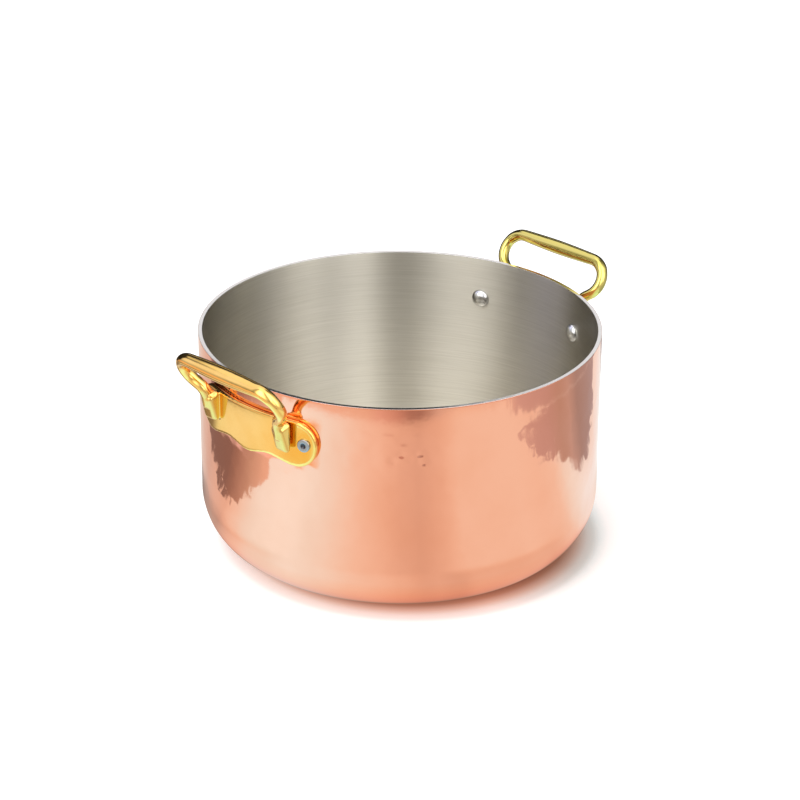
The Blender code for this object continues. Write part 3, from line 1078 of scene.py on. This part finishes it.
def tableSeen(bench, place, radius, angle):
    # the colour that metal sees on the table
    s = tableSettings
    top = s["glowTop"]
    low = radius.between(*s["footUpTo"])
    foot = byAngle(angle, s["footGlow"], top) * top
    lit = byAngle(angle, s["tableGlow"], top) * top
    lit = lit * (foot * (1 - low) + low) * radius.between(*s["farDimming"])
    near = bench.node("ShaderNodeCombineColor", None, {
        0: lit * lit.between(*s["redShare"]),
        1: lit,
        2: lit * lit.between(*s["blueShare"]),
    })
    raggedShare = byAngle(angle, s["raggedShare"])
    ragged = (place.noise(*s["raggedNoise"]) - 0.5) * s["raggedReach"]
    ragged = (ragged + (place.noise(*s["frayedNoise"]) - 0.5) * s["frayedReach"]) * raggedShare
    edge = radius + ragged - byAngle(angle, s["tableReach"])
    edge = (edge / (s["edgeSoftness"] - raggedShare * s["edgeCrispness"])).between(-1, 1)
    notch = (radius + ragged * s["notchRagged"] - s["notchMiddle"]).maths("ABSOLUTE")
    notch = (byAngle(angle, s["notchHalf"]) - notch).between(-s["notchSoftness"], s["notchSoftness"])
    seen = (edge * (1 - notch)).blend(near, byAngle(angle, s["beyondGlow"]))
    card = (radius - byAngle(angle, s["cardInner"])).between(*s["cardInnerEdge"])
    card = card * (byAngle(angle, s["cardOuter"]) - radius).between(*s["cardOuterEdge"])
    card = card * byAngle(angle, s["cardShare"])
    seen = card.blend(seen, byAngle(angle, s["cardTones"], top).scaled(top))
    seen = radius.between(*s["farFrom"]).blend(seen, byAngle(angle, s["farGlow"], top).scaled(top))
    shifted = radius - byAngle(angle, s["contactShift"])
    return seen.tinted(byDistance(shifted, s["contactTones"], s["shadowSpan"]))


def makeTable():
    s = tableSettings
    clearSelection()
    bpy.ops.mesh.primitive_circle_add(vertices=s["sides"], radius=s["radius"], fill_type="NGON",
                                      location=(0, 0, 0))
    table = bpy.context.object
    table.name = table.data.name = "tableTop"
    material, bench = newMaterial("whiteTable")
    place = objectPlace(bench)
    angle = roundAngle(place)
    across, along, up = place.parts()
    seen = tableSeen(bench, place, across.length(along), angle)
    middle, span = s["shadowMiddle"], s["shadowSpan"]
    fromMiddle = (across - middle[0]).length(along - middle[1])
    shadow = byDistance(fromMiddle, s["shadowReach"], span)
    shadow = shadow.tinted(byDistance(fromMiddle, s["greyShadow"], span), byAngle(angle, s["greyShare"]))
    isCamera, isGlossy = rayKinds(bench)
    matt = bench.node("ShaderNodeBsdfDiffuse", None, {"Color": shadow.tinted((s["grey"],) * 3)})
    lift = bench.node("ShaderNodeEmission", None, {"Color": shadow, "Strength": isCamera * s["lift"]})
    paper = bench.node("ShaderNodeAddShader", None, {0: matt, 1: lift})
    mirrored = bench.node("ShaderNodeEmission", None, {"Color": seen})
    finishTree(bench, bench.node("ShaderNodeMixShader", None, {0: isGlossy, 1: paper, 2: mirrored}))
    table.data.materials.append(material)


roomSettings = {
    "greyForFloor": 0.50,
    "greyForCamera": 1.0,
    # panels all round the room by angle, brighter upwards
    "panelGlow": ((-180, (1.05, 1.05, 1.30)), (-174, 0.70), (-168, 0.45), (-162, 0.65), (-155, 1.5),
                  (-145, 2.7), (-134, 3.0), (-122, 2.8), (-114, 2.3), (-105, 1.3), (-96, 0.75), (-86, 0.65),
                  (-78, 1.3), (-72, 2.6), (-64, 3.2), (-56, 2.6), (-50, 2.0), (-45, 1.8), (-39, 2.6),
                  (-33, 3.0), (-26, 2.6), (-16, 1.8), (5, 1.0), (30, 0.32), (56, 0.03), (80, 0.04),
                  (100, 0.04), (120, 0.03), (151, 0.03), (160, (0.95, 0.95, 1.20)),
                  (180, (1.05, 1.05, 1.30))),
    "panelRise": (0.0, 0.42, 0.55, 1.08),       # two heights and the brightness at each
    # a bright ceiling at the back, one low light there that the rim's top sees, and a light overhead
    "ceilingShare": ((-180, 0.0), (45, 0.0), (65, 1.0), (158, 1.0), (170, 0.0), (180, 0.0)),
    "ceilingFrom": (0.62, 0.70),
    "ceilingTone": (1.15, 1.15, 1.25),
    "lowLightShare": ((-180, 0.0), (78, 0.0), (82, 1.0), (98, 1.0), (102, 0.0), (180, 0.0)),
    "lowLightFrom": (0.340, 0.352),
    "lowLightUpTo": (0.4035, 0.4085),
    "lowLightTilt": 0.012,      # lower at the camera's right
    "lowLightTiltFrom": (0.010, 0.020),
    "lowLightTone": (0.84, 0.82, 0.82),
    "overheadGlow": 1.6,
    "overheadFrom": (0.90, 0.97),
    "panelTop": 4.0,            # the brightest value that a panel may hold
}


def makeWorld():
    s = roomSettings
    world = bpy.data.worlds.new("softStudio")
    bpy.context.scene.world = world
    world.use_nodes = True
    world.node_tree.nodes.clear()
    bench = Wire(world.node_tree)
    direction = bench.node("ShaderNodeTexCoord", output="Generated")
    angle = roundAngle(direction)
    up = direction.parts()[2]
    panels = byAngle(angle, s["panelGlow"], s["panelTop"])
    panels = panels.scaled(up.between(*s["panelRise"]) * s["panelTop"])
    ceiling = up.between(*s["ceilingFrom"]) * byAngle(angle, s["ceilingShare"])
    seen = ceiling.blend(panels, s["ceilingTone"])
    across = direction.stretched((1, 1, 1), cameraTurn).parts()[0]
    tilted = up - across.between(*s["lowLightTiltFrom"]) * s["lowLightTilt"]
    lowLight = up.between(*s["lowLightFrom"]) * (1 - tilted.between(*s["lowLightUpTo"]))
    lowLight = lowLight * byAngle(angle, s["lowLightShare"])
    seen = lowLight.blend(seen, s["lowLightTone"])
    seen = up.between(*s["overheadFrom"]).blend(seen, (s["overheadGlow"],) * 3)
    isCamera, isGlossy = rayKinds(bench)
    tone = isGlossy.blend((s["greyForFloor"],) * 3, seen)
    tone = isCamera.blend(tone, (s["greyForCamera"],) * 3)
    finishTree(bench, bench.node("ShaderNodeBackground", None, {"Color": tone}), "ShaderNodeOutputWorld")


sunSettings = {
    "power": 1.6,
    "width": 25,                # all three in degrees, the azimuth round the pot in the part's own frame
    "azimuth": 150,
    "height": 76,
}


def makeSun():
    s = sunSettings
    azimuth, height = math.radians(s["azimuth"]), math.radians(s["height"])
    away = math.cos(height)
    spot = Vector((math.cos(azimuth) * away, math.sin(azimuth) * away, math.sin(height)))
    bpy.ops.object.light_add(type="SUN", location=spot)
    sun = bpy.context.object
    sun.name = "softSun"
    sun.data.energy = s["power"]
    sun.data.angle = math.radians(s["width"])
    sun.rotation_euler = spot.to_track_quat("Z", "Y").to_euler()
    sun.visible_glossy = False


makeTable()
makeWorld()
makeSun()
bpy.context.scene.view_settings.view_transform = "Standard"
print("studio lit")

for name, (piece, material, slot) in standsFor.items():
    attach(piece, "root")
    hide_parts(name)
